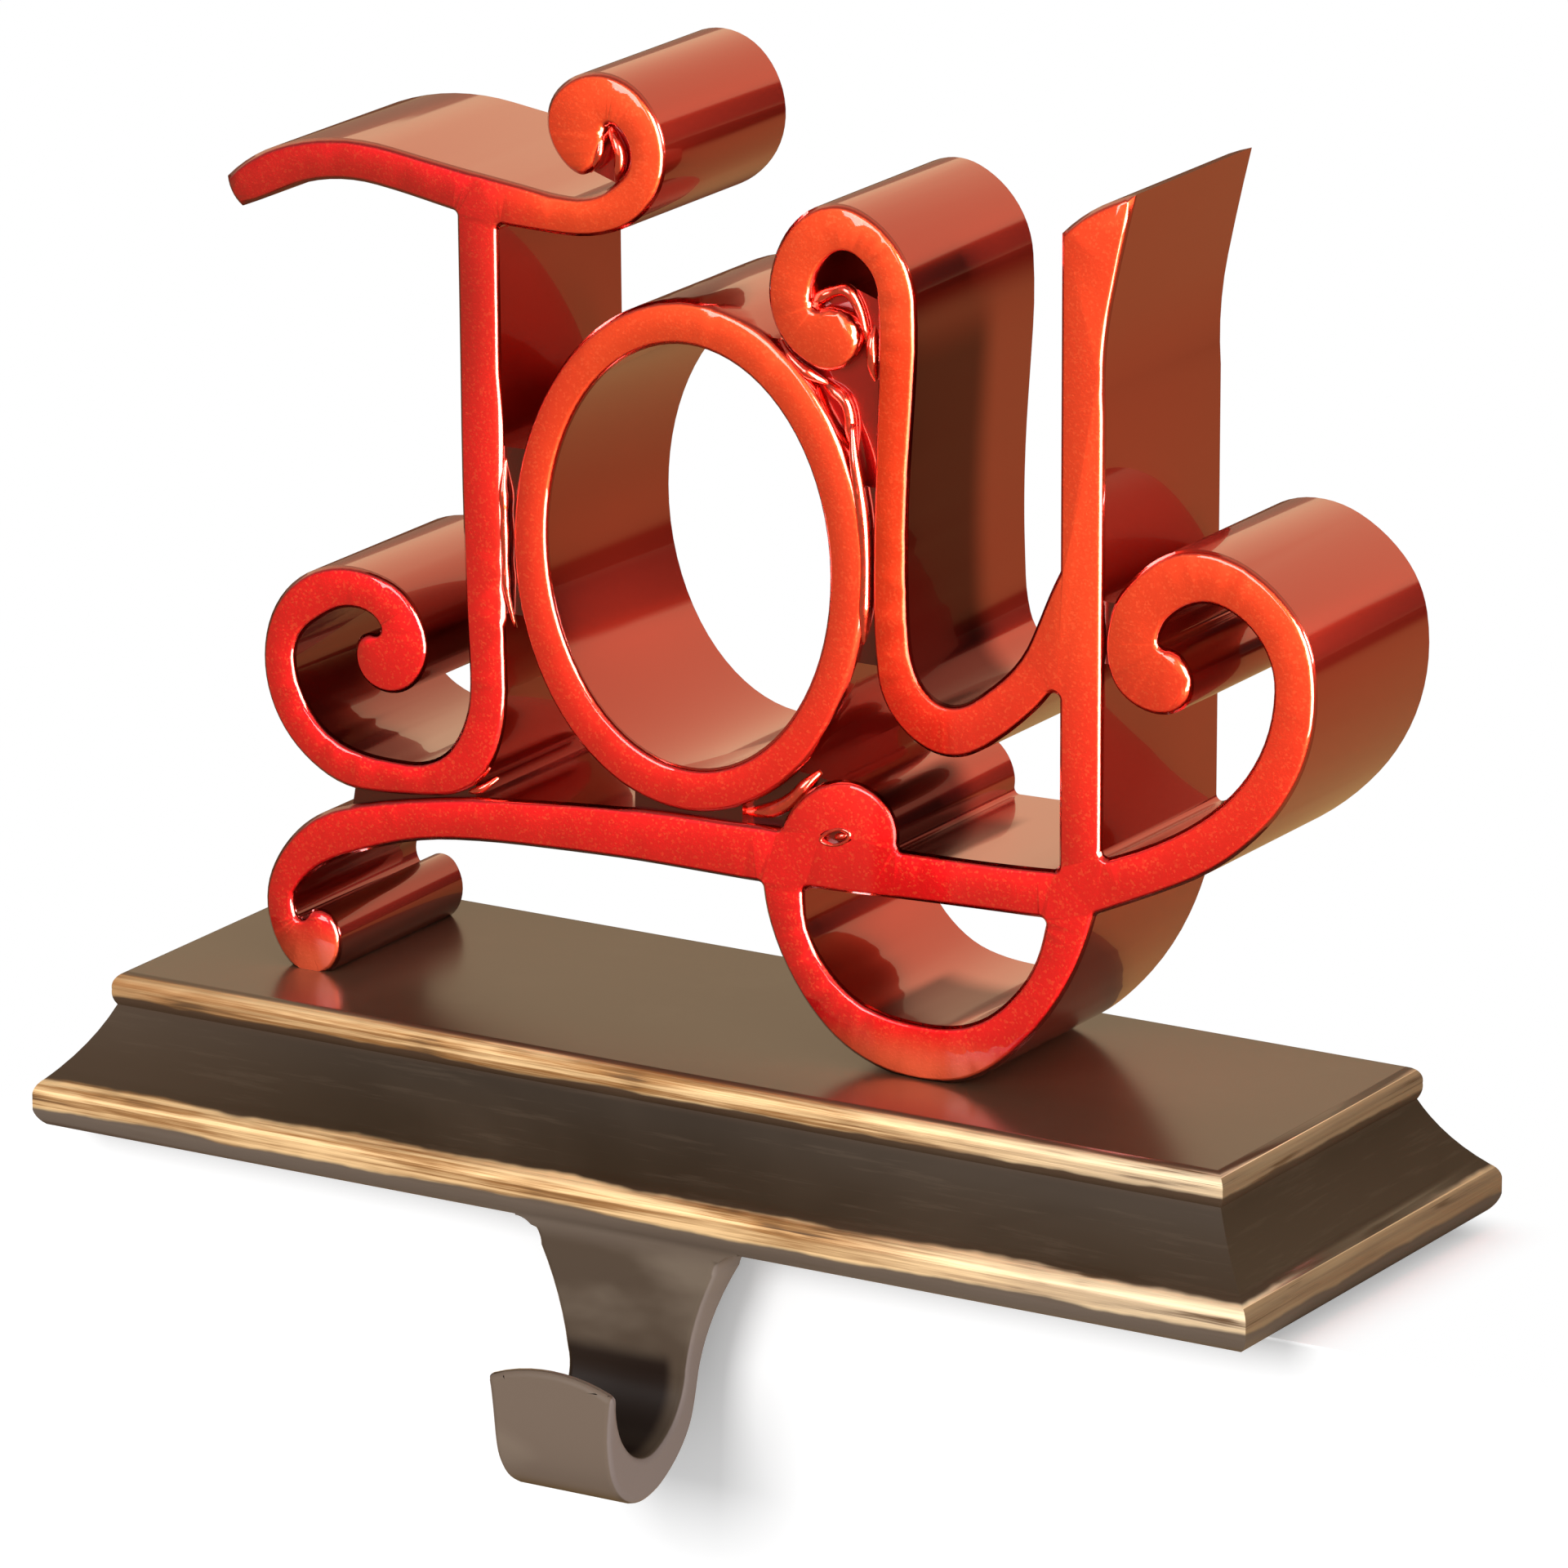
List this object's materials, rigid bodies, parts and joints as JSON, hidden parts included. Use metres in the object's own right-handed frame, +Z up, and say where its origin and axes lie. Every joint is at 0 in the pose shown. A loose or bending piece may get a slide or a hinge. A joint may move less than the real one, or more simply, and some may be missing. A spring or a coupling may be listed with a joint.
{
  "type": "mantel stocking holder",
  "caption": "Mantel stocking holder: a moulded base with a cast hook under its front edge carries a scrolled word casting; a stocking hangs from the hook.",
  "frame": {"origin": "middle of the non-slip pad's underside, on the plane of the mantel shelf, midway along the base", "axes": "+X along the shelf to the reader's right, -Y towards the room and the hook, +Z up"},
  "size_m": [0.18, 0.0852, 0.1758],
  "materials": {
    "red_enamel": "glossy candy-red metallic enamel over cast metal",
    "bronze_paint": "satin dark bronze paint with gold dry-brushed edges over cast metal",
    "screw_steel": "zinc plated",
    "pad_rubber": "matt, fine grain"
  },
  "bodies": {
    "root": {"word_casting": "red_enamel", "base_casting": "bronze_paint", "foot_screws": "screw_steel", "non_slip_pad": "pad_rubber"}
  },
  "joints": []
}
